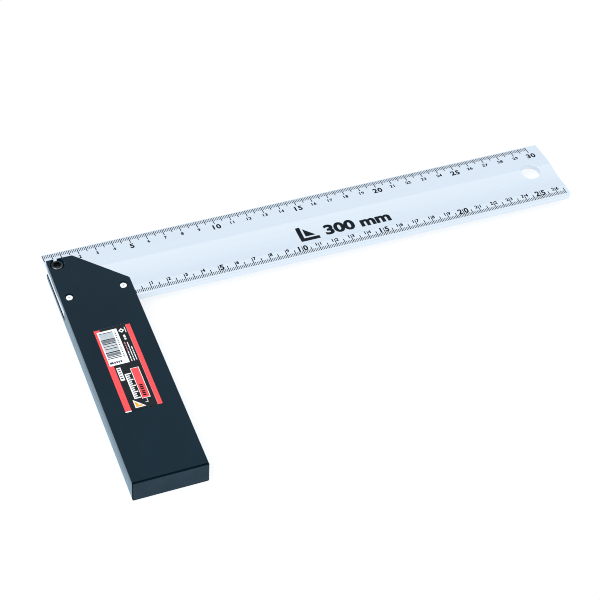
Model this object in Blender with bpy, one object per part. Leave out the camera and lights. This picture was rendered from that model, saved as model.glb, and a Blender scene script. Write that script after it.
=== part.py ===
"""A carpenter's try square: an aluminium rule fixed across the end of a black stock.

World frame, in metres: +X along the blade away from the stock, +Y from the stock's free end
towards the blade, +Z up through the thickness. The origin is the bottom centre of the whole
tool's box. The stock lies on z = 0 and the blade is held clear of the surface below it.

Pieces: stock, end_cap, blade, blade_packer, outer_rivet, inner_rivet, corner_screw,
threaded_insert and label. Nothing moves once the tool is assembled.
"""

import math

import bmesh
import bpy

MM = 0.001
GAP = 0.3 * MM                      # clearance left between pieces that touch on the real tool
FASTENER_SEGMENTS = 48              # facets round a fastener or its hole
HANG_HOLE_SEGMENTS = 96

# Stock: a rectangular tube with one corner of its blade end cut off at 45 degrees.
STOCK_WIDTH = 40.6 * MM
STOCK_LENGTH = 162 * MM             # with the end cap on
STOCK_THICKNESS = 14 * MM
STOCK_WALL = 3.7 * MM
STOCK_FLOOR = 3.2 * MM              # the wall under the blade
STOCK_EDGE_RADIUS = 0.5 * MM
STOCK_SQUARE_END = 15 * MM          # width of the end left square beside the mitre
EDGE_SEGMENTS = 5                   # facets round a quarter of the long edges

# Blade: an extruded rule with a thin bevelled edge, a hollow face and a flat strip.
BLADE_LENGTH = 308.2 * MM
BLADE_WIDTH = 47.7 * MM
BLADE_THICKNESS = 4 * MM
BLADE_OVERHANG = 11.3 * MM          # how far the blade's thin edge passes the stock's end
THIN_EDGE = 1.2 * MM                # thickness of that edge
BEVEL_WIDTH = 20 * MM
CREST_DROP = 0.4 * MM               # how far the bevel's crest lies below the strip
STRIP_WIDTH = 7.7 * MM              # flat strip beside the blade's thick side
HOLLOW_DEPTH = 1 * MM               # depth of the hollow face between bevel and strip
HOLLOW_SEGMENTS = 20
BLADE_CORNER_RADIUS = 0.9 * MM
BLADE_TIP_RADIUS = 1.3 * MM         # rounding of the tip's two corners, seen from above

HANG_HOLE_RADIUS = 5.85 * MM
HANG_HOLE_FROM_TIP = 14.5 * MM
HANG_HOLE_FROM_THIN_EDGE = 22.5 * MM

# Packer: the black filler under the blade, inside the stock.
PACKER_THICKNESS = 2.2 * MM
PACKER_SETBACK = 2 * MM             # how far it lies inside the stock's faces

# Rivets: two, in line across the stock.
RIVET_FROM_SIDE = 5 * MM
RIVET_FROM_END = 30 * MM
RIVET_SHANK_RADIUS = 1.75 * MM
RIVET_HEAD_RADIUS = 2.15 * MM
RIVET_SINK = 0.7 * MM               # how far its ends lie below the stock's faces
RIVET_HEAD_DEPTH = 0.9 * MM

# Corner screw: a low-head socket screw in a threaded insert, at the stock's outer corner.
SCREW_FROM_SIDE = 5.3 * MM
SCREW_FROM_END = 4.2 * MM
SCREW_SHANK_RADIUS = 2 * MM
SCREW_HEAD_RADIUS = 3.3 * MM
SCREW_HEAD_HEIGHT = 2.2 * MM
SCREW_SINK = 0.35 * MM
SCREW_HEAD_CHAMFER = 0.35 * MM
SCREW_LENGTH = 12.4 * MM            # from the top of its head to its tip
SOCKET_ACROSS_FLATS = 3.8 * MM
SOCKET_DEPTH = 1.7 * MM
COUNTERBORE_RADIUS = 4.3 * MM
INSERT_RADIUS = 2.9 * MM
INSERT_LENGTH = 2.6 * MM

# End cap: a thin face plate and a hollow plug that fills the tube.
CAP_PLATE = 0.8 * MM
CAP_PLATE_RADIUS = 0.3 * MM         # rounding of the plate's outer rim
CAP_PLUG_LENGTH = 12 * MM
CAP_PLUG_WALL = 1.4 * MM

# Label: printed film in a shallow recess in the stock's top face.
LABEL_WIDTH = 20.2 * MM
LABEL_LENGTH = 59.2 * MM
LABEL_THICKNESS = 0.15 * MM
LABEL_FROM_END = 57.8 * MM          # from the stock's blade end
LABEL_BED = 0.15 * MM               # room for the adhesive under the film
LABEL_MARGIN = 0.15 * MM

# Places worked out from the sizes above.
SIDE_X = -BLADE_LENGTH / 2          # the stock's outer side, level with the blade's end
INNER_X = SIDE_X + STOCK_WIDTH
TIP_X = BLADE_LENGTH / 2
END_Y = (STOCK_LENGTH - BLADE_OVERHANG) / 2
FRONT_Y = END_Y - STOCK_LENGTH
THIN_Y = END_Y + BLADE_OVERHANG
THICK_Y = THIN_Y - BLADE_WIDTH
TOP_Z = STOCK_THICKNESS
SLOT_LOW = STOCK_FLOOR
SLOT_HIGH = STOCK_THICKNESS - STOCK_WALL
BLADE_TOP = SLOT_HIGH - GAP
BLADE_LOW = BLADE_TOP - BLADE_THICKNESS
TUBE_FRONT = FRONT_Y + CAP_PLATE + GAP
RIVET_Y = END_Y - RIVET_FROM_END
SCREW_X = SIDE_X + SCREW_FROM_SIDE
SCREW_Y = END_Y - SCREW_FROM_END
PAST = 2 * MM                       # how far a cutter runs past the face that it cuts


def clear_scene():
    for obj in list(bpy.data.objects):
        bpy.data.objects.remove(obj, do_unlink=True)


def material(name, colour, roughness, metallic):
    mat = bpy.data.materials.new(name)
    mat.use_nodes = True
    shader = mat.node_tree.nodes["Principled BSDF"]
    shader.inputs["Base Color"].default_value = (*colour, 1)
    shader.inputs["Roughness"].default_value = roughness
    shader.inputs["Metallic"].default_value = metallic
    return mat


def add_object(name, mesh_builder, mat=None, smooth_angle=30):
    """Makes an object from a bmesh, with its faces turned outwards."""
    bmesh.ops.recalc_face_normals(mesh_builder, faces=mesh_builder.faces)
    mesh = bpy.data.meshes.new(name)
    mesh_builder.to_mesh(mesh)
    mesh_builder.free()
    mesh.shade_smooth()
    mesh.set_sharp_from_angle(angle=math.radians(smooth_angle))
    obj = bpy.data.objects.new(name, mesh)
    if mat:
        mesh.materials.append(mat)
    bpy.context.scene.collection.objects.link(obj)
    return obj


def prism(outline, low, high, axis):
    """A bmesh with a closed outline extruded from low to high along "X", "Y" or "Z"."""
    place = {
        "X": lambda u, v, w: (w, u, v),
        "Y": lambda u, v, w: (u, w, v),
        "Z": lambda u, v, w: (u, v, w),
    }[axis]
    bm = bmesh.new()
    face = bm.faces.new([bm.verts.new(place(u, v, low)) for u, v in outline])
    grown = bmesh.ops.extrude_face_region(bm, geom=[face])
    moved = [item for item in grown["geom"] if isinstance(item, bmesh.types.BMVert)]
    bmesh.ops.translate(bm, verts=moved, vec=place(0, 0, high - low))
    return bm


def turned(profile, x, y, segments=FASTENER_SEGMENTS):
    """A bmesh of the (radius, z) profile turned round the vertical axis at x, y."""
    bm = bmesh.new()
    points = [bm.verts.new((radius, 0, z)) for radius, z in profile]
    edges = [bm.edges.new(pair) for pair in zip(points, points[1:])]
    bmesh.ops.spin(
        bm, geom=points + edges, cent=(0, 0, 0), axis=(0, 0, 1),
        angle=2 * math.pi, steps=segments, use_merge=True,
    )
    bmesh.ops.remove_doubles(bm, verts=bm.verts, dist=1e-7)
    bmesh.ops.translate(bm, verts=bm.verts, vec=(x, y, 0))
    return bm


def box_outline(u0, u1, v0, v1):
    return [(u0, v0), (u1, v0), (u1, v1), (u0, v1)]


def rounded_outline(u0, u1, v0, v1, radius):
    """A rectangle with round corners, anticlockwise."""
    corners = [
        (u1 - radius, v1 - radius, 0), (u0 + radius, v1 - radius, 90),
        (u0 + radius, v0 + radius, 180), (u1 - radius, v0 + radius, 270),
    ]
    outline = []
    for u, v, start in corners:
        for step in range(EDGE_SEGMENTS + 1):
            turn = math.radians(start + 90 * step / EDGE_SEGMENTS)
            outline.append((u + radius * math.cos(turn), v + radius * math.sin(turn)))
    return outline


def cut(obj, cutter_mesh, name):
    """Takes a cutter's shape out of an object with a Boolean modifier."""
    cutter = add_object(f"cutter_{obj.name}_{name}", cutter_mesh)
    cutter.hide_render = True
    cutter.display_type = "WIRE"
    boolean = obj.modifiers.new(name, "BOOLEAN")
    boolean.operation = "DIFFERENCE"
    boolean.solver = "EXACT"
    boolean.object = cutter


def cut_round(obj, radius, x, y, low, high, name, segments=FASTENER_SEGMENTS):
    profile = [(0, low), (radius, low), (radius, high), (0, high)]
    cut(obj, turned(profile, x, y, segments), name)


def rivet_places():
    return {
        "outer": (SIDE_X + RIVET_FROM_SIDE, RIVET_Y),
        "inner": (INNER_X - RIVET_FROM_SIDE, RIVET_Y),
    }


def fastener_holes(obj, low, high):
    """Plain clearance holes for the rivets and the screw."""
    for name, (x, y) in rivet_places().items():
        cut_round(obj, RIVET_SHANK_RADIUS + GAP, x, y, low, high, f"{name}_rivet_hole")
    cut_round(obj, SCREW_SHANK_RADIUS + GAP, SCREW_X, SCREW_Y, low, high, "screw_hole")


def stock(mat):
    profile = rounded_outline(SIDE_X, INNER_X, 0, TOP_Z, STOCK_EDGE_RADIUS)
    obj = add_object("stock", prism(profile, TUBE_FRONT, END_Y, "Y"), mat)

    mitre = STOCK_WIDTH - STOCK_SQUARE_END
    corner = [
        (SIDE_X + STOCK_SQUARE_END - PAST, END_Y + PAST),
        (INNER_X + PAST, END_Y - mitre - PAST),
        (INNER_X + PAST, END_Y + PAST),
    ]
    cut(obj, prism(corner, -PAST, TOP_Z + PAST, "Z"), "mitre")

    inside = box_outline(SIDE_X + STOCK_WALL, INNER_X - STOCK_WALL, SLOT_LOW, SLOT_HIGH)
    cut(obj, prism(inside, TUBE_FRONT - PAST, END_Y + PAST, "Y"), "tube_inside")
    slot = box_outline(SIDE_X - PAST, INNER_X + PAST, SLOT_LOW, SLOT_HIGH)
    cut(obj, prism(slot, THICK_Y - GAP, END_Y + PAST, "Y"), "blade_slot")

    for name, (x, y) in rivet_places().items():
        wide = RIVET_HEAD_RADIUS + GAP
        narrow = RIVET_SHANK_RADIUS + GAP
        straight = RIVET_SINK + RIVET_HEAD_DEPTH / 2
        tapered = RIVET_SINK + RIVET_HEAD_DEPTH
        profile = [
            (0, -PAST), (wide, -PAST), (wide, straight), (narrow, tapered),
            (narrow, TOP_Z - tapered), (wide, TOP_Z - straight), (wide, TOP_Z + PAST),
            (0, TOP_Z + PAST),
        ]
        cut(obj, turned(profile, x, y), f"{name}_rivet_hole")

    shoulder = TOP_Z - SCREW_SINK - SCREW_HEAD_HEIGHT - GAP
    shank = SCREW_SHANK_RADIUS + GAP
    profile = [
        (0, -PAST), (INSERT_RADIUS + GAP, -PAST), (INSERT_RADIUS + GAP, SLOT_LOW + PAST),
        (shank, SLOT_LOW + PAST), (shank, shoulder), (COUNTERBORE_RADIUS, shoulder),
        (COUNTERBORE_RADIUS, TOP_Z + PAST), (0, TOP_Z + PAST),
    ]
    cut(obj, turned(profile, SCREW_X, SCREW_Y), "screw_hole")

    middle = SIDE_X + STOCK_WIDTH / 2
    half = LABEL_WIDTH / 2 + LABEL_MARGIN
    far = END_Y - LABEL_FROM_END
    recess = box_outline(middle - half, middle + half,
                         far - LABEL_LENGTH - LABEL_MARGIN, far + LABEL_MARGIN)
    floor = TOP_Z - LABEL_THICKNESS - LABEL_BED
    cut(obj, prism(recess, floor, TOP_Z + PAST, "Z"), "label_recess")
    return obj


def end_cap(mat):
    """The face plate, and the plug joined to its back as a cup open towards the blade."""
    radius = STOCK_EDGE_RADIUS
    rings = [
        (rounded_outline(SIDE_X + inset, INNER_X - inset, inset, TOP_Z - inset, radius), y)
        for inset, y in (
            (CAP_PLATE_RADIUS, FRONT_Y),
            (0, FRONT_Y + CAP_PLATE_RADIUS),
            (0, FRONT_Y + CAP_PLATE),
        )
    ]
    slack = STOCK_WALL + GAP
    plug = (SIDE_X + slack, INNER_X - slack, SLOT_LOW + GAP, SLOT_HIGH - GAP)
    plug_end = FRONT_Y + CAP_PLATE + CAP_PLUG_LENGTH
    rings.append((rounded_outline(*plug, radius), FRONT_Y + CAP_PLATE))
    rings.append((rounded_outline(*plug, radius), plug_end))
    wall = CAP_PLUG_WALL
    inside = (plug[0] + wall, plug[1] - wall, plug[2] + wall, plug[3] - wall)
    inner_radius = radius / 2
    rings.append((rounded_outline(*inside, inner_radius), plug_end))
    rings.append((rounded_outline(*inside, inner_radius), FRONT_Y + CAP_PLATE))

    bm = bmesh.new()
    loops = [[bm.verts.new((u, y, v)) for u, v in outline] for outline, y in rings]
    bm.faces.new(loops[0])
    bm.faces.new(loops[-1])
    for first, second in zip(loops, loops[1:]):
        for i in range(len(first)):
            j = (i + 1) % len(first)
            bm.faces.new((first[i], first[j], second[j], second[i]))
    return add_object("end_cap", bm, mat)


def blade_outline():
    """The blade's section as (y, z) points, from the foot of its thin edge round over the top."""
    crest = THIN_Y - BEVEL_WIDTH
    strip = THICK_Y + STRIP_WIDTH
    outline = [(THIN_Y, BLADE_LOW), (THIN_Y, BLADE_LOW + THIN_EDGE)]
    outline.append((crest, BLADE_TOP - CREST_DROP))
    for step in range(1, HOLLOW_SEGMENTS):
        share = step / HOLLOW_SEGMENTS
        chord = BLADE_TOP - CREST_DROP * (1 - share)
        sag = 4 * HOLLOW_DEPTH * share * (1 - share)
        outline.append((crest + (strip - crest) * share, chord - sag))
    outline.append((strip, BLADE_TOP))
    radius = BLADE_CORNER_RADIUS
    for step in range(EDGE_SEGMENTS + 1):
        turn = math.radians(90 + 90 * step / EDGE_SEGMENTS)
        y = THICK_Y + radius + radius * math.cos(turn)
        outline.append((y, BLADE_TOP - radius + radius * math.sin(turn)))
    outline.append((THICK_Y, BLADE_LOW))
    return outline


def tip_rounding(corner_y, inward):
    """What lies outside the round of a tip corner; inward is the way along Y into the blade."""
    radius = BLADE_TIP_RADIUS
    outline = [(TIP_X - radius, corner_y - inward * PAST), (TIP_X + PAST, corner_y - inward * PAST),
               (TIP_X + PAST, corner_y + inward * radius)]
    for step in range(EDGE_SEGMENTS + 1):
        turn = math.radians(90 * step / EDGE_SEGMENTS)
        x = TIP_X - radius + radius * math.cos(turn)
        outline.append((x, corner_y + inward * (radius - radius * math.sin(turn))))
    return prism(outline, BLADE_LOW - PAST, BLADE_TOP + PAST, "Z")


def blade(mat):
    obj = add_object("blade", prism(blade_outline(), SIDE_X, TIP_X, "X"), mat, smooth_angle=9)
    for name, corner_y, inward in (("thick", THICK_Y, 1), ("thin", THIN_Y, -1)):
        cut(obj, tip_rounding(corner_y, inward), f"{name}_corner")
    fastener_holes(obj, BLADE_LOW - PAST, BLADE_TOP + PAST)

    x = TIP_X - HANG_HOLE_FROM_TIP
    y = THIN_Y - HANG_HOLE_FROM_THIN_EDGE
    cut_round(obj, HANG_HOLE_RADIUS, x, y, BLADE_LOW - PAST, BLADE_TOP + PAST, "hang_hole",
              HANG_HOLE_SEGMENTS)
    return obj


def blade_packer(mat):
    """A plate of the stock's own outline, set back from its faces, under the blade."""
    side = SIDE_X + PACKER_SETBACK
    end = END_Y - PACKER_SETBACK
    inner = INNER_X - PACKER_SETBACK
    mitre = STOCK_WIDTH - STOCK_SQUARE_END
    outline = [
        (side, THICK_Y), (inner, THICK_Y), (inner, END_Y - mitre - PACKER_SETBACK),
        (SIDE_X + STOCK_SQUARE_END - PACKER_SETBACK, end), (side, end),
    ]
    top = BLADE_LOW - GAP
    obj = add_object("blade_packer", prism(outline, top - PACKER_THICKNESS, top, "Z"), mat)
    fastener_holes(obj, SLOT_LOW - PAST, BLADE_LOW + PAST)
    return obj


def rivet(name, x, y, mat):
    low = RIVET_SINK
    high = TOP_Z - RIVET_SINK
    dome = 0.12 * MM
    rim = 0.25 * MM
    head = RIVET_HEAD_RADIUS
    shank = RIVET_SHANK_RADIUS
    straight = RIVET_HEAD_DEPTH / 2
    profile = [
        (0, low), (head - rim, low + dome), (head, low + rim), (head, low + straight),
        (shank, low + RIVET_HEAD_DEPTH), (shank, high - RIVET_HEAD_DEPTH),
        (head, high - straight), (head, high - rim), (head - rim, high - dome), (0, high),
    ]
    return add_object(name, turned(profile, x, y), mat)


def corner_screw(mat):
    top = TOP_Z - SCREW_SINK
    under = top - SCREW_HEAD_HEIGHT
    tip = top - SCREW_LENGTH
    head = SCREW_HEAD_RADIUS
    shank = SCREW_SHANK_RADIUS
    bevel = SCREW_HEAD_CHAMFER
    profile = [
        (0, tip), (shank - bevel, tip), (shank, tip + bevel), (shank, under), (head, under),
        (head, top - bevel), (head - bevel, top), (0, top),
    ]
    obj = add_object("corner_screw", turned(profile, SCREW_X, SCREW_Y), mat)
    hexagon = []
    for side in range(6):
        turn = math.radians(60 * side)
        radius = SOCKET_ACROSS_FLATS / 2 / math.cos(math.radians(30))
        hexagon.append((SCREW_X + radius * math.cos(turn), SCREW_Y + radius * math.sin(turn)))
    cut(obj, prism(hexagon, top - SOCKET_DEPTH, top + PAST, "Z"), "hex_socket")
    return obj


def threaded_insert(mat):
    """A knurled bush pressed into the stock's lower wall; its bore takes the corner screw."""
    bore = SCREW_SHANK_RADIUS + GAP
    low = (SLOT_LOW - INSERT_LENGTH) / 2
    high = low + INSERT_LENGTH
    bevel = 0.25 * MM
    outer = INSERT_RADIUS
    profile = [
        (bore, low), (outer - bevel, low), (outer, low + bevel), (outer, high - bevel),
        (outer - bevel, high), (bore, high), (bore, low),
    ]
    return add_object("threaded_insert", turned(profile, SCREW_X, SCREW_Y), mat)


def label(mat):
    middle = SIDE_X + STOCK_WIDTH / 2
    far = END_Y - LABEL_FROM_END
    outline = box_outline(middle - LABEL_WIDTH / 2, middle + LABEL_WIDTH / 2,
                          far - LABEL_LENGTH, far)
    return add_object("label", prism(outline, TOP_Z - LABEL_THICKNESS, TOP_Z, "Z"), mat)


def main():
    clear_scene()
    black_coat = material("black_coat", (0.024, 0.030, 0.036), 0.42, 0.1)
    black_plastic = material("black_plastic", (0.020, 0.024, 0.028), 0.5, 0)
    anodised = material("anodised_aluminium", (0.66, 0.73, 0.80), 0.36, 0.85)
    rivet_metal = material("rivet_aluminium", (0.80, 0.82, 0.84), 0.28, 1)
    black_steel = material("black_steel", (0.10, 0.11, 0.13), 0.35, 0.9)
    brass = material("brass", (0.70, 0.52, 0.22), 0.35, 1)
    film = material("label_film", (0.012, 0.014, 0.018), 0.3, 0)

    stock(black_coat)
    end_cap(black_plastic)
    blade(anodised)
    blade_packer(black_plastic)
    for name, (x, y) in rivet_places().items():
        rivet(f"{name}_rivet", x, y, rivet_metal)
    corner_screw(black_steel)
    threaded_insert(brass)
    label(film)


main()
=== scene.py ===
import math

import bmesh
import bpy
import numpy as np
from mathutils import Matrix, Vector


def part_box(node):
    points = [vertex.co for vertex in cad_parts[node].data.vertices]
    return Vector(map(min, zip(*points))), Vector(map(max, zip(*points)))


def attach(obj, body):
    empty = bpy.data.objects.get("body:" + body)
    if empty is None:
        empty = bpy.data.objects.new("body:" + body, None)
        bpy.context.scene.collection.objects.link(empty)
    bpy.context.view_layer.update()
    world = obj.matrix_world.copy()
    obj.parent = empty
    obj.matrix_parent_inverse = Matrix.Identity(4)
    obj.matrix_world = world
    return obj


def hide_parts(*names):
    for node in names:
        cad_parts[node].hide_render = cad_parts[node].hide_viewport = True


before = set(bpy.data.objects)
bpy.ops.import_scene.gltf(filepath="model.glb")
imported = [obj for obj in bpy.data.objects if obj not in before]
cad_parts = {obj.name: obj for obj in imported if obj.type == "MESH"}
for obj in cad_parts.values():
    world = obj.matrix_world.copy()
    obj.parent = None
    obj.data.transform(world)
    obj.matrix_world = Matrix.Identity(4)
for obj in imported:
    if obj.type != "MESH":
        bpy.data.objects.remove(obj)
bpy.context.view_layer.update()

MM = 0.001
BODY = "root"                       # nothing moves, so every piece rides on the one body
WELD = 0.001 * MM
FLOOR_GAP = 0.05 * MM               # keeps the floor clear of the underside
FLAT_ANGLE = math.radians(0.3)      # faces closer than this to one plane are joined
SHARP_ANGLE = math.radians(30)

# Places that the CAD model gives.
BLADE_LOW, BLADE_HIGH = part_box("blade")
STOCK_LOW, STOCK_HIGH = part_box("stock")
SCREW_LOW, SCREW_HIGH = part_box("corner_screw")
LABEL_LOW, LABEL_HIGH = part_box("label")
SCREW_CENTRE = (SCREW_LOW + SCREW_HIGH) / 2

# Softened edges.
STOCK_EDGE = 0.2 * MM
SLOT_EDGE = 0.15 * MM
BLADE_EDGE = 0.15 * MM
SMALL_EDGE = 0.08 * MM
LABEL_EDGE = 0.04 * MM
COUNTERBORE_REACH = 5 * MM          # round the screw, where the stock's wall is too thin to soften
SCREW_CHAMFER_FROM = 2.5 * MM       # from the screw's axis; nearer chamfers belong to its socket

# Rivets. Depths are from the top of a head.
RIVET_PROUD = 0.4 * MM              # how far the upper head stands above the CAD's
RIVET_SHANK = 1.75 * MM
SEAT_GAP = 0.15 * MM                # between a head and its seat
CROWN_RADIUS = 0.75 * MM            # where a head starts to round off
DIMPLE_RADIUS = 0.5 * MM            # the darker middle of a head, painted shade in the dimple
DIMPLE = [(0, 0.32 * MM), (0.3 * MM, 0.28 * MM), (0.55 * MM, 0.04 * MM)]    # (radius, depth)
DOME = 0.3 * MM
DOME_STEPS = 6
RIM_DEPTH = 0.5 * MM
NECK_DEPTH = 0.95 * MM

# Print: thin films that lie on a surface and reach a little into it.
INK_RISE = 0.012 * MM
INK_SINK = 0.03 * MM
GLYPHS = {}                         # flat letters made so far, by text and boldness

# Graduations. Distances from the blade's long sides.
UPPER_ZERO = BLADE_LOW.x + 0.45 * MM
LOWER_ZERO = STOCK_HIGH.x + 0.15 * MM
TICK_WIDTH = 0.39 * MM
LONG_TICK_WIDTH = 0.5 * MM
UPPER_START, UPPER_TICKS = 0.8 * MM, {1: 3.6 * MM, 5: 5.1 * MM, 10: 6.2 * MM}
LOWER_START, LOWER_TICKS = 1.4 * MM, {1: 3.9 * MM, 5: 5.9 * MM, 10: 7.5 * MM}
UPPER_LENGTH = 300                  # millimetres marked
LOWER_LENGTH = 265
CENTIMETRE = 10 * MM
SMALL_DIGIT = 2.3 * MM
LARGE_DIGIT = 3.8 * MM
UPPER_DIGITS_TOP = 7.1 * MM         # from the thin edge to the digits' heads
LOWER_DIGITS_TOP = 7.9 * MM         # from the thick side to the digits' heads
DIGIT_CELL = 0.78                   # width of a digit's cell, as a share of its height
LOWER_DIGIT_GAP = 0.9 * MM          # room between two digits for the tick that divides them

# The sign and the length in the middle of the blade.
SIGN_LEFT, SIGN_FOOT = -11.5 * MM, 50.3 * MM
SIGN_SIZE, SIGN_BAR, SIGN_GAP, SIGN_LEG = 11.6 * MM, 2.6 * MM, 1.2 * MM, 6.2 * MM
LENGTH_CENTRE, LENGTH_FOOT, LENGTH_HEIGHT = 24.5 * MM, 51.8 * MM, 7.7 * MM

# The label's print, in millimetres across from its left side and along from its head.
LEFT_STRIPE, LEFT_RUN = (0.05, 3.3), (0.5, 58.8)
RIGHT_STRIPE, RIGHT_RUN = (17.75, 20.15), (0.8, 59.0)
STRIPE_LINE = 0.25                  # width of the right stripe's pale edge
STRIPE_END = 0.6                    # length of the left stripe's white end
PANEL, PANEL_RUN = (1.35, 12.25), (2.0, 26.9)
BARS = (1.95, 9.6)
RED_PANEL, RED_RUN = (11.25, 15.25), (31.6, 52.5)
FRAME = 0.3
RING_CENTRE, RING_RADII = (14.4, 4.2), (1.6, 0.7)
SMALL_PRINT_END = 26.6
WORD_GAP = 0.35
SMALL_LINE = (13.35, 13.85)         # the line of small print that starts in rose
BADGE, BADGE_RUN = (4.05, 6.3), (29.0, 38.2)
RULER_BAR, RULER_START = (7.1, 7.75), 34.2
RULER_PITCH, RULER_TOOTH, RULER_TEETH = 1.42, 0.75, 13


# ---------------------------------------------------------------- nodes of the materials

def add(tree, kind, inputs=None, **settings):
    """A new shader node. Inputs are numbers, colours or the output sockets that feed them."""
    made = tree.nodes.new(kind)
    for name, value in settings.items():
        setattr(made, name, value)
    for name, value in (inputs or {}).items():
        if isinstance(value, bpy.types.NodeSocket):
            tree.links.new(value, made.inputs[name])
        else:
            made.inputs[name].default_value = value
    return made


def grain(tree, scale, stretch=(1, 1, 1), detail=2):
    """Noise from 0 to 1 with scale features to the metre, finer along an axis by stretch."""
    point = add(tree, "ShaderNodeTexCoord").outputs["Object"]
    mapped = add(tree, "ShaderNodeMapping", {"Vector": point, "Scale": stretch}).outputs[0]
    inputs = {"Vector": mapped, "Scale": scale, "Detail": detail}
    return add(tree, "ShaderNodeTexNoise", inputs).outputs[0]


def spread(tree, value, low, high, start=0.3, end=0.7):
    """Maps value from start..end to low..high."""
    inputs = {"Value": value, "From Min": start, "From Max": end, "To Min": low, "To Max": high}
    return add(tree, "ShaderNodeMapRange", inputs).outputs[0]


def blended(tree, factor, first, second):
    """Mixes two colours, each a triple or a socket."""
    mix = add(tree, "ShaderNodeMix", data_type="RGBA")
    for index, value in ((0, factor), (6, first), (7, second)):
        if isinstance(value, bpy.types.NodeSocket):
            tree.links.new(value, mix.inputs[index])
        else:
            mix.inputs[index].default_value = (*value, 1)
    return mix.outputs[2]


def bump(tree, height, depth, strength, under=None):
    inputs = {"Height": height, "Distance": depth, "Strength": strength}
    if under:
        inputs["Normal"] = under
    return add(tree, "ShaderNodeBump", inputs).outputs[0]


def finish_of(name, first, second, colour_grain, roughness, roughness_grain, **constants):
    """A Principled material whose colour and roughness vary with grains.

    Returns the material, its tree and its shader, so that a surface can be added."""
    mat = bpy.data.materials.new(name)
    mat.use_nodes = True
    tree = mat.node_tree
    shader = tree.nodes["Principled BSDF"]
    colour = blended(tree, spread(tree, grain(tree, *colour_grain), 0, 1), first, second)
    tree.links.new(colour, shader.inputs["Base Color"])
    rough = spread(tree, grain(tree, *roughness_grain), *roughness)
    tree.links.new(rough, shader.inputs["Roughness"])
    for socket, value in constants.items():
        shader.inputs[socket.replace("_", " ")].default_value = value
    return mat, tree, shader


def black_coat():
    """Satin powder coat on extruded aluminium: fine orange peel over faint lengthwise lines."""
    mat, tree, shader = finish_of(
        "black_coat", (0.0002, 0.0095, 0.0185), (0.0008, 0.0145, 0.0265),
        (45, (1, 0.5, 1), 3), (0.24, 0.32), (260, (1, 0.3, 1), 3), Specular_IOR_Level=0.135,
        Sheen_Weight=0.6, Sheen_Roughness=0.3, Sheen_Tint=(0.35, 0.72, 1.0, 1),
    )
    lines = bump(tree, grain(tree, 900, (1, 0.01, 1)), 0.004 * MM, 0.5)
    peel = bump(tree, grain(tree, 1400), 0.008 * MM, 0.5, under=lines)
    tree.links.new(peel, shader.inputs["Normal"])
    return mat


def black_plastic():
    """Moulded plastic with a fine spark-eroded texture."""
    mat, tree, shader = finish_of(
        "black_plastic", (0.002, 0.021, 0.036), (0.008, 0.030, 0.050), (90, (1, 1, 1), 3),
        (0.40, 0.50), (500, (1, 1, 1), 3), Specular_IOR_Level=0.135,
    )
    tree.links.new(bump(tree, grain(tree, 3200), 0.01 * MM, 0.6), shader.inputs["Normal"])
    return mat


def anodised_aluminium():
    """Clear-anodised aluminium with the fine lengthwise lines of an extrusion."""
    mat, tree, shader = finish_of(
        "anodised_aluminium", (0.712, 0.788, 0.868), (0.722, 0.800, 0.880),
        (520, (0.012, 1, 1), 4), (0.29, 0.33), (900, (0.01, 1, 1), 3), Metallic=1,
    )
    lines = bump(tree, grain(tree, 2600, (0.006, 1, 1), 3), 0.0006 * MM, 0.2)
    matt = bump(tree, grain(tree, 5200, detail=1), 0.0010 * MM, 0.3, under=lines)
    tree.links.new(matt, shader.inputs["Normal"])
    return mat


def rivet_aluminium(name, first, second):
    """Pressed aluminium with small dents from the setting tool."""
    mat, tree, shader = finish_of(
        name, first, second, (600, (1, 1, 1), 3),
        (0.20, 0.34), (900, (1, 1, 1), 3), Metallic=1,
    )
    tree.links.new(bump(tree, grain(tree, 1500), 0.02 * MM, 0.5), shader.inputs["Normal"])
    return mat


def steel(name, first, second, roughness):
    """Black-oxide steel, worn a little brighter in patches."""
    mat, tree, shader = finish_of(
        name, first, second, (700, (1, 1, 1), 4), roughness, (1100, (1, 1, 1), 3), Metallic=1,
    )
    tree.links.new(bump(tree, grain(tree, 2600), 0.01 * MM, 0.5), shader.inputs["Normal"])
    return mat


def brass():
    """Turned brass, slightly tarnished."""
    mat, tree, shader = finish_of(
        "brass", (0.50, 0.35, 0.13), (0.72, 0.53, 0.22), (800, (1, 1, 1), 4),
        (0.28, 0.44), (1500, (1, 1, 1), 3), Metallic=1,
    )
    rings = bump(tree, grain(tree, 1800, (0.1, 0.1, 6)), 0.01 * MM, 0.5)
    tree.links.new(rings, shader.inputs["Normal"])
    return mat


def film(name, colour, paler, roughness=0.3, specular=0.4):
    """Printed ink or film: even colour with faint mottling and a slight orange peel."""
    mat, tree, shader = finish_of(
        name, colour, paler, (700, (1, 1, 1), 3),
        (roughness - 0.05, roughness + 0.05), (900, (1, 1, 1), 2), Specular_IOR_Level=specular,
    )
    tree.links.new(bump(tree, grain(tree, 1100), 0.006 * MM, 0.4), shader.inputs["Normal"])
    return mat


# ---------------------------------------------------------------- refined CAD pieces

def place(name, mesh, mat):
    """An object of the mesh, riding on the one body, with the record's material slot."""
    mesh.materials.append(mat)
    obj = bpy.data.objects.new(name, mesh)
    bpy.context.scene.collection.objects.link(obj)
    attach(obj, BODY)
    return obj


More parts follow.
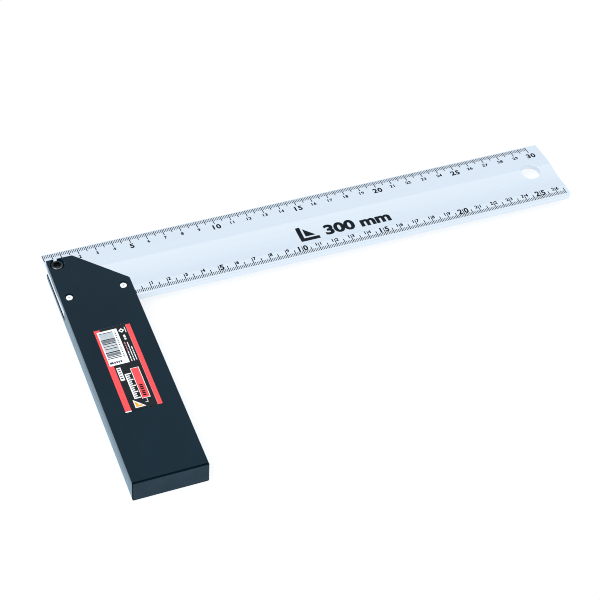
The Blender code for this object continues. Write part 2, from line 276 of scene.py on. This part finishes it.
def refined(node, name, mat, width, weight=None, smooth_angle=30):
    """A copy of a CAD node with whole faces and softened edges, which then stands for it.

    weight gives the share of width that the edge between two points gets."""
    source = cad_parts[node].data
    bm = bmesh.new()
    verts = [bm.verts.new(v.co) for v in source.vertices]
    for face in source.polygons:
        bm.faces.new([verts[i] for i in face.vertices])
    bmesh.ops.remove_doubles(bm, verts=bm.verts, dist=WELD)
    bmesh.ops.dissolve_limit(bm, angle_limit=FLAT_ANGLE, verts=bm.verts, edges=bm.edges)
    bmesh.ops.recalc_face_normals(bm, faces=bm.faces)
    layer = bm.edges.layers.float.new("bevel_weight_edge")
    for edge in bm.edges:
        if edge.calc_face_angle() > SHARP_ANGLE:
            middle = (edge.verts[0].co + edge.verts[1].co) / 2
            edge[layer] = weight(middle) if weight else 1
    mesh = bpy.data.meshes.new(name)
    bm.to_mesh(mesh)
    bm.free()
    mesh.shade_smooth()
    mesh.set_sharp_from_angle(angle=math.radians(smooth_angle))
    obj = place(name, mesh, mat)
    bevel = obj.modifiers.new("soft_edges", "BEVEL")
    bevel.limit_method = "WEIGHT"
    bevel.width = width
    bevel.segments = 3
    bevel.use_clamp_overlap = False
    bevel.harden_normals = True
    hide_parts(node)
    return obj


def worn_rim(obj, mat):
    """Gives the chamfer round the top of the screw's head a second, brighter material: a painted
    highlight that stands for the lit ring round the head.
    """
    obj.data.materials.append(mat)
    for face in obj.data.polygons:
        from_axis = (face.center.xy - SCREW_CENTRE.xy).length
        if 0.3 < face.normal.z < 0.95 and from_axis > SCREW_CHAMFER_FROM:
            face.material_index = 1


def dull_rim(obj, mat):
    """Gives the narrow rim of the cap's face plate a second, darker and duller plastic; its
    darkness is painted shade of the seam between the tube and the cap.
    """
    obj.data.materials.append(mat)
    for face in obj.data.polygons:
        if abs(face.normal.y) < 0.9:
            face.material_index = 1


def stock_edge_share(point):
    """Full rounding on the outer skin, less in the slot, none at the thin wall by the screw."""
    from_screw = (point.xy - SCREW_CENTRE.xy).length
    if from_screw < COUNTERBORE_REACH:
        return 0
    skin = min(point.z - STOCK_LOW.z, STOCK_HIGH.z - point.z) < SLOT_EDGE
    return 1 if skin else SLOT_EDGE / STOCK_EDGE


def turned(name, profile, x, y, mat, segments=64):
    """A solid of the (radius, z) profile turned round the vertical axis at x, y."""
    bm = bmesh.new()
    points = [bm.verts.new((radius, 0, z)) for radius, z in profile]
    edges = [bm.edges.new(pair) for pair in zip(points, points[1:])]
    bmesh.ops.spin(
        bm, geom=points + edges, cent=(0, 0, 0), axis=(0, 0, 1),
        angle=2 * math.pi, steps=segments, use_merge=True,
    )
    bmesh.ops.remove_doubles(bm, verts=bm.verts, dist=WELD)
    bmesh.ops.translate(bm, verts=bm.verts, vec=(x, y, 0))
    bmesh.ops.recalc_face_normals(bm, faces=bm.faces)
    mesh = bpy.data.meshes.new(name)
    bm.to_mesh(mesh)
    bm.free()
    mesh.shade_smooth()
    mesh.set_sharp_from_angle(angle=math.radians(50))
    return place(name, mesh, mat)


def rivet(node, name, mat, dimple_shade):
    """A set rivet: both heads low domes with a dimple from the tool, in tapered seats; the
    dimple's middle is painted darker as shade.
    """
    low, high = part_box(node)
    head = (high.x - low.x) / 2 - SEAT_GAP
    half = DIMPLE[:]
    for step in range(DOME_STEPS + 1):
        angle = math.radians(90 * step / DOME_STEPS)
        radius = CROWN_RADIUS + (head - CROWN_RADIUS) * math.sin(angle)
        half.append((radius, DOME * (1 - math.cos(angle))))
    half += [(head, RIM_DEPTH), (RIVET_SHANK, NECK_DEPTH)]
    profile = [(radius, low.z + depth) for radius, depth in half]
    profile += [(radius, high.z + RIVET_PROUD - depth) for radius, depth in reversed(half)]
    middle = (low + high) / 2
    obj = turned(name, profile, middle.x, middle.y, mat)
    obj.data.materials.append(dimple_shade)
    # the darker metal in the dimple's middle is painted shade
    for face in obj.data.polygons:
        if (face.center.xy - middle.xy).length < DIMPLE_RADIUS:
            face.material_index = 1
    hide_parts(node)
    return obj


# ---------------------------------------------------------------- print

def blade_section():
    """The blade's top as (y, z) points, from its thick side to its thin edge."""
    points = set()
    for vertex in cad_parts["blade"].data.vertices:
        at_end = vertex.co.x < BLADE_LOW.x + WELD
        above = vertex.co.z > BLADE_LOW.z + WELD
        if at_end and above:
            points.add((round(vertex.co.y, 7), round(vertex.co.z, 7)))
    return sorted(points)


def polygon(sheet, points):
    sheet.faces.new([sheet.verts.new((x, y, 0)) for x, y in points])


def rectangle(sheet, x0, x1, y0, y1):
    polygon(sheet, ((x0, y0), (x1, y0), (x1, y1), (x0, y1)))


def glyph(text, boldness):
    """The flat mesh of a text in Blender's own font, as points and faces, size 1."""
    if (text, boldness) not in GLYPHS:
        curve = bpy.data.curves.new("glyph", "FONT")
        curve.body = text
        curve.align_x = "CENTER"
        curve.resolution_u = 4
        curve.offset = boldness
        obj = bpy.data.objects.new("glyph", curve)
        bpy.context.scene.collection.objects.link(obj)
        bpy.context.view_layer.update()
        evaluated = obj.evaluated_get(bpy.context.evaluated_depsgraph_get())
        mesh = bpy.data.meshes.new_from_object(evaluated)
        points = [v.co.xy.copy() for v in mesh.vertices]
        faces = [list(p.vertices) for p in mesh.polygons]
        GLYPHS[text, boldness] = (points, faces)
        bpy.data.objects.remove(obj)
        bpy.data.curves.remove(curve)
        bpy.data.meshes.remove(mesh)
    return GLYPHS[text, boldness]


def lettering(sheet, text, x, foot, height, boldness=0, width=1):
    """Adds a text centred on x, with its foot and the height of its digits given."""
    points, faces = glyph(text, boldness)
    size = height / max(p.y for p in glyph("7", boldness)[0])
    verts = [sheet.verts.new((x + p.x * size * width, foot + p.y * size, 0)) for p in points]
    for face in faces:
        sheet.faces.new([verts[i] for i in face])


def printed(name, sheet, mat, section, layer=1):
    """Makes a closed film of a flat sheet, following the (y, z) section of what it lies on.

    Films that lie over others have a higher layer. Bold letters leave slivers where their
    outline crosses itself, and these are taken out."""
    bmesh.ops.remove_doubles(sheet, verts=sheet.verts, dist=WELD)
    span = [v.co.y for v in sheet.verts]
    for y, z in section:
        if min(span) < y < max(span):
            bmesh.ops.bisect_plane(
                sheet, geom=sheet.verts[:] + sheet.edges[:] + sheet.faces[:], dist=WELD,
                plane_co=(0, y, 0), plane_no=(0, 1, 0),
            )
    crowded = [edge for edge in sheet.edges if len(edge.link_faces) > 2]
    slivers = {min(edge.link_faces, key=bmesh.types.BMFace.calc_area) for edge in crowded}
    bmesh.ops.delete(sheet, geom=list(slivers), context="FACES")
    grown = bmesh.ops.extrude_face_region(sheet, geom=sheet.faces[:])
    top = {item for item in grown["geom"] if isinstance(item, bmesh.types.BMVert)}
    ys, zs = zip(*section)
    for vertex in sheet.verts:
        surface = float(np.interp(vertex.co.y, ys, zs))
        vertex.co.z = surface + (INK_RISE * layer if vertex in top else -INK_SINK)
    bmesh.ops.recalc_face_normals(sheet, faces=sheet.faces)
    mesh = bpy.data.meshes.new(name)
    sheet.to_mesh(mesh)
    sheet.free()
    return place(name, mesh, mat)


def ticks(sheet, zero, length, start, reaches, side, inward):
    """A tick for each millimetre, longer at each 5 and 10; inward is the way in from side."""
    for mark in range(length + 1):
        step = max(s for s in reaches if mark % s == 0)
        half = (TICK_WIDTH if step == 1 else LONG_TICK_WIDTH) / 2
        x = zero + mark * MM
        ends = sorted((side + inward * start, side + inward * reaches[step]))
        rectangle(sheet, max(x - half, BLADE_LOW.x + WELD), x + half, *ends)


def digits(sheet, text, centres, head, height, boldness):
    """Adds a number digit by digit; head is the y of the digits' upper ends."""
    for digit, x in zip(text, centres):
        lettering(sheet, digit, x, head - height, height, boldness)


def digit_size(number):
    """Height and boldness of a centimetre's number; each fifth one is large and bold."""
    return (LARGE_DIGIT, 0.04) if number % 5 == 0 else (SMALL_DIGIT, 0.045)


def upper_scale(mat, section):
    """Centimetres from the blade's end, with their numbers beside the ticks."""
    sheet = bmesh.new()
    ticks(sheet, UPPER_ZERO, UPPER_LENGTH, UPPER_START, UPPER_TICKS, BLADE_HIGH.y, -1)
    for number in range(1, UPPER_LENGTH // 10 + 1):
        height, boldness = digit_size(number)
        text = str(number)
        x = UPPER_ZERO + number * CENTIMETRE
        cell = height * DIGIT_CELL
        centres = [x + cell * (index + 0.5 - len(text) / 2) for index in range(len(text))]
        digits(sheet, text, centres, BLADE_HIGH.y - UPPER_DIGITS_TOP, height, boldness)
    return printed("upper_scale", sheet, mat, section)


def lower_scale(mat, section):
    """Centimetres from the stock's inner side, with each tick passing between its digits."""
    sheet = bmesh.new()
    ticks(sheet, LOWER_ZERO, LOWER_LENGTH, LOWER_START, LOWER_TICKS, BLADE_LOW.y, 1)
    for number in range(1, LOWER_LENGTH // 10 + 1):
        height, boldness = digit_size(number)
        text = str(number)
        x = LOWER_ZERO + number * CENTIMETRE
        offset = (height * DIGIT_CELL + LOWER_DIGIT_GAP) / 2
        centres = [x - offset, x + offset][-len(text):]
        digits(sheet, text, centres, BLADE_LOW.y + LOWER_DIGITS_TOP, height, boldness)
    return printed("lower_scale", sheet, mat, section)


def length_mark(mat, section):
    """A plain set-square sign and the blade's length, in the middle of the hollow face."""
    sheet = bmesh.new()
    inner_x, inner_y = SIGN_LEFT + SIGN_BAR, SIGN_FOOT + SIGN_BAR
    right, head = SIGN_LEFT + SIGN_SIZE, SIGN_FOOT + SIGN_SIZE
    polygon(sheet, (
        (SIGN_LEFT, SIGN_FOOT), (right, SIGN_FOOT), (right, inner_y),
        (inner_x, inner_y), (inner_x, head), (SIGN_LEFT, head),
    ))
    x, y = inner_x + SIGN_GAP, inner_y + SIGN_GAP
    polygon(sheet, ((x, y), (x + SIGN_LEG, y), (x, y + SIGN_LEG)))
    lettering(sheet, "300 mm", LENGTH_CENTRE, LENGTH_FOOT, LENGTH_HEIGHT, 0.045, width=1.16)
    return printed("length_mark", sheet, mat, section)


# ---------------------------------------------------------------- label

def shape(sheet, points):
    """A polygon on the label, from points (u, v) in millimetres across and along it."""
    polygon(sheet, [(LABEL_LOW.x + u * MM, LABEL_HIGH.y - v * MM) for u, v in points])


def block(sheet, across, along):
    """A rectangle on the label from its spans across and along."""
    (left, right), (head, foot) = across, along
    shape(sheet, ((left, foot), (right, foot), (right, head), (left, head)))


def run_of_blocks(sheet, across, start, end, lengths, gap):
    """Blocks of the given lengths in turn, which stand for a line of print."""
    along = start
    count = 0
    while along < end:
        length = min(lengths[count % len(lengths)], end - along)
        block(sheet, across, (along, along + length))
        along += length + gap
        count += 1


def words(sheet, across, start, pitch, length, count):
    """Equal blocks at an even pitch along the label."""
    for word in range(count):
        block(sheet, across, (start + pitch * word, start + pitch * word + length))


def on_label(name, sheet, ink, layer=1):
    flat = [(LABEL_LOW.y, LABEL_HIGH.z), (LABEL_HIGH.y, LABEL_HIGH.z)]
    return printed(name, sheet, ink, flat, layer)


def square_ring(sheet):
    """A square frame that stands on its corner."""
    x, y = RING_CENTRE
    outer, inner = RING_RADII
    for side in range(4):
        start, end = (math.radians(90 * corner) for corner in (side, side + 1))
        corners = ((outer, start), (outer, end), (inner, end), (inner, start))
        shape(sheet, [(x + r * math.cos(angle), y + r * math.sin(angle)) for r, angle in corners])


def small_ruler(sheet):
    """A bar with teeth, each third one longer, where the label had a word."""
    back, root = RULER_BAR
    outline = [(back, RULER_START)]
    for tooth in range(RULER_TEETH):
        reach = 10.5 if tooth % 3 == 0 else 9.3
        start = RULER_START + RULER_PITCH * tooth
        end = start + RULER_TOOTH
        outline += [(root, start), (reach, start), (reach, end), (root, end)]
    del outline[1], outline[-1]     # the first and last teeth run straight on from the bar's ends
    shape(sheet, outline + [(back, end)])


def white_print(sheet):
    block(sheet, PANEL, PANEL_RUN)
    block(sheet, LEFT_STRIPE, (LEFT_RUN[1], LEFT_RUN[1] + STRIPE_END))
    block(
        sheet, (RED_PANEL[0] - FRAME, RED_PANEL[1] + FRAME),
        (RED_RUN[0] - FRAME, RED_RUN[1] + FRAME),
    )
    shape(sheet, ((5.9, 57.9), (11.6, 57.9), (5.9, 52.2)))
    square_ring(sheet)
    block(sheet, (16.35, 16.75), (2.2, 6.2))
    run_of_blocks(sheet, (14.3, 15.4), 7.6, 11.4, (1.9, 1.2), 0.4)
    for across, start, lengths in (
        (SMALL_LINE, 19.5, (1.6, 0.9, 2.1)),
        ((14.75, 15.25), 13.2, (1.2, 2.0, 0.8)),
        ((16.05, 16.55), 16.6, (2.2, 1.1, 1.5)),
    ):
        run_of_blocks(sheet, across, start, SMALL_PRINT_END, lengths, WORD_GAP)
    block(sheet, BADGE, BADGE_RUN)
    small_ruler(sheet)
    shape(sheet, (
        (11.9, 55.4), (13.2, 55.4), (13.2, 53.0), (13.5, 53.0), (13.5, 55.7), (11.9, 55.7),
    ))


def striped_panel(inks):
    """Tints and bars on the white panel, which encode nothing, and the small print round them."""
    pale = bmesh.new()
    for run in ((3.9, 7.7), (11.7, 12.6), (13.6, 14.4), (15.3, 16.9)):
        block(pale, BARS, run)
    on_label("label_pale_print", pale, inks["pale"], layer=3)
    middle = bmesh.new()
    for start in (8.8, 18.2):
        block(middle, BARS, (start, start + 1.9))
    on_label("label_middle_print", middle, inks["middle"], layer=3)
    dark = bmesh.new()
    for start, width in (
        (3.3, 0.5), (7.9, 0.8), (10.9, 0.7), (12.8, 0.6),
        (14.6, 0.6), (17.1, 0.9), (20.4, 0.55), (21.5, 0.55),
    ):
        block(dark, BARS, (start, start + width))
    run_of_blocks(dark, (10.35, 11.1), 4.0, 23.5, (0.45, 0.7), 0.75)
    foot_line = (24.3, 25.7)
    block(dark, (2.0, 3.95), foot_line)
    for word in range(4):
        block(dark, (4.3 + 1.15 * word, 5.1 + 1.15 * word), foot_line)
    words(dark, (4.5, 5.8), 29.7, 1.65, 0.7, 5)
    on_label("label_grey_print", dark, inks["grey"], layer=3)


def label_print(inks):
    """Generic blocks, stripes and a set square in the places of a printed label's parts."""
    red = bmesh.new()
    block(red, LEFT_STRIPE, LEFT_RUN)
    block(red, RIGHT_STRIPE, RIGHT_RUN)
    on_label("label_side_stripes", red, inks["red"])
    white = bmesh.new()
    white_print(white)
    on_label("label_white_print", white, inks["white"], layer=2)
    panel = bmesh.new()
    block(panel, RED_PANEL, RED_RUN)
    on_label("label_red_panel", panel, inks["red"], layer=3)
    rose = bmesh.new()
    run_of_blocks(rose, SMALL_LINE, 12.6, 19.2, (1.7, 1.0), WORD_GAP)
    block(rose, (RIGHT_STRIPE[0] - STRIPE_LINE, RIGHT_STRIPE[0]), RIGHT_RUN)
    on_label("label_rose_print", rose, inks["rose"], layer=2)
    orange = bmesh.new()
    shape(orange, ((6.4, 57.4), (10.4, 57.4), (9.4, 56.3), (8.0, 56.3), (8.0, 55.0), (6.4, 53.3)))
    on_label("label_orange_print", orange, inks["orange"], layer=3)
    striped_panel(inks)
    black = bmesh.new()
    words(black, (12.2, 14.0), 43.2, 1.32, 0.95, 3)
    words(black, (12.2, 14.0), 47.51, 1.32, 0.95, 3)
    on_label("label_black_print", black, inks["black"], layer=4)


# ---------------------------------------------------------------- stage, light and camera

def studio():
    """Soft light from all round, brightest overhead, and a pale floor that glows a little, as a
    light table does, so that its shadows stay faint."""
    world = bpy.data.worlds.new("studio")
    bpy.context.scene.world = world
    world.use_nodes = True
    tree = world.node_tree
    way = add(tree, "ShaderNodeTexCoord").outputs["Generated"]
    height = add(tree, "ShaderNodeSeparateXYZ", {"Vector": way}).outputs["Z"]
    overhead = spread(tree, height, 0, 1, 0.45, 1)
    sky = blended(tree, overhead, (0.97, 1.01, 1.06), (1.13, 1.15, 1.14))
    above_horizon = spread(tree, height, 0, 1, 0, 0.25)
    light = blended(tree, above_horizon, (0.84, 0.87, 0.90), sky)
    tree.links.new(light, tree.nodes["Background"].inputs["Color"])

    size = 3
    mesh = bpy.data.meshes.new("floor")
    corners = [(-size, -size, 0), (size, -size, 0), (size, size, 0), (-size, size, 0)]
    mesh.from_pydata(corners, [], [(0, 1, 2, 3)])
    floor = bpy.data.objects.new("floor", mesh)
    floor.location.z = -FLOOR_GAP
    bpy.context.scene.collection.objects.link(floor)
    mat = finish_of(
        "pale_floor", (0.29, 0.29, 0.29), (0.31, 0.31, 0.31), (6, (1, 1, 1), 2),
        (0.85, 0.95), (30, (1, 1, 1), 2), Specular_IOR_Level=0.1,
        Emission_Color=(0.98, 0.99, 1.0, 1), Emission_Strength=0.75,
    )[0]
    mesh.materials.append(mat)

    lamp = bpy.data.lights.new("softbox", "AREA")
    lamp.shape = "DISK"
    lamp.size = 1.2
    lamp.energy = 12
    lamp.color = (0.94, 0.98, 1.0)
    softbox = bpy.data.objects.new("softbox", lamp)
    softbox.location = (-1.1, -0.5, 1.5)
    softbox.rotation_euler = (-softbox.location).to_track_quat("-Z", "Y").to_euler()
    bpy.context.scene.collection.objects.link(softbox)


def camera():
    """A long lens above the stock's free end, aimed across the tool."""
    data = bpy.data.cameras.new("camera")
    data.sensor_width = 36
    data.lens = 109.16
    data.shift_x = -0.003
    data.shift_y = 0.0052
    data.clip_start = 0.05
    data.clip_end = 20
    obj = bpy.data.objects.new("camera", data)
    heading, tilt, roll = math.radians(-24.18), math.radians(42.77), math.radians(4.66)
    aim = Matrix.Rotation(heading, 4, "Z") @ Matrix.Rotation(tilt, 4, "X")
    place_and_aim = Matrix.Translation((-0.30693, -0.61432, 0.74462)) @ aim
    obj.matrix_world = place_and_aim @ Matrix.Rotation(roll, 4, "Z")
    bpy.context.scene.collection.objects.link(obj)
    bpy.context.scene.camera = obj


def main():
    coat = black_coat()
    plastic = black_plastic()
    aluminium = anodised_aluminium()
    rivet_metal = rivet_aluminium("rivet_aluminium", (0.90, 0.91, 0.92), (0.97, 0.975, 0.98))
    # darker aluminium for the middle of the rivets' dimples: painted shade
    dimple_shade_metal = rivet_aluminium("rivet_dimple_shade", (0.40, 0.42, 0.44), (0.55, 0.57, 0.59))
    black_steel = steel("black_steel", (0.020, 0.025, 0.032), (0.042, 0.048, 0.056), (0.26, 0.40))
    # a brighter steel for the screw head's chamfer: painted highlight, the lit ring round the head
    chamfer_highlight_steel = steel("chamfer_highlight_steel", (0.13, 0.15, 0.17), (0.24, 0.27, 0.29), (0.24, 0.36))
    ink = film("dark_ink", (0.001, 0.004, 0.008), (0.004, 0.009, 0.014), 0.5, 0.08)
    inks = {
        "base": film("label_base", (0.002, 0.006, 0.009), (0.004, 0.009, 0.013), 0.3, 0.2),
        "black": film("label_black", (0.003, 0.004, 0.005), (0.006, 0.007, 0.008), 0.4, 0.1),
        "pale": film("label_pale", (0.42, 0.47, 0.50), (0.50, 0.54, 0.57), 0.4, 0.2),
        "middle": film("label_middle", (0.14, 0.16, 0.18), (0.20, 0.22, 0.24), 0.4, 0.2),
        "grey": film("label_grey", (0.03, 0.04, 0.05), (0.05, 0.06, 0.07), 0.4, 0.1),
        "red": film("label_red", (0.80, 0.060, 0.070), (0.84, 0.075, 0.080), 0.35, 0.3),
        "rose": film("label_rose", (0.55, 0.20, 0.22), (0.60, 0.24, 0.26), 0.35, 0.3),
        "orange": film("label_orange", (0.85, 0.30, 0.03), (0.90, 0.42, 0.05), 0.35, 0.3),
        "white": film("label_white", (0.82, 0.84, 0.86), (0.88, 0.90, 0.91), 0.35, 0.3),
    }

    refined("stock", "coated_stock", coat, STOCK_EDGE, stock_edge_share)
    cap = refined("end_cap", "moulded_end_cap", plastic, SMALL_EDGE)
    # the rim's darker plastic is painted shade of the seam between the tube and the cap
    dull_rim(cap, film("seam_shade_plastic", (0.0004, 0.004, 0.007), (0.001, 0.007, 0.012), 0.7, 0.03))
    refined("blade", "ruled_blade", aluminium, BLADE_EDGE, smooth_angle=9)
    refined("blade_packer", "moulded_packer", plastic, SMALL_EDGE)
    rivet("outer_rivet", "set_outer_rivet", rivet_metal, dimple_shade_metal)
    rivet("inner_rivet", "set_inner_rivet", rivet_metal, dimple_shade_metal)
    screw = refined("corner_screw", "socket_screw", black_steel, SMALL_EDGE)
    # the chamfer's brighter steel is a painted highlight
    worn_rim(screw, chamfer_highlight_steel)
    refined("threaded_insert", "brass_insert", brass(), SMALL_EDGE)
    refined("label", "label_film", inks["base"], LABEL_EDGE)

    section = blade_section()
    upper_scale(ink, section)
    lower_scale(ink, section)
    length_mark(ink, section)
    label_print(inks)
    studio()
    camera()
    scene = bpy.context.scene
    scene.view_settings.view_transform = "Standard"
    scene.cycles.filter_width = 1.0                 # these two keep the millimetre ticks apart
    scene.cycles.denoising_prefilter = "FAST"


main()
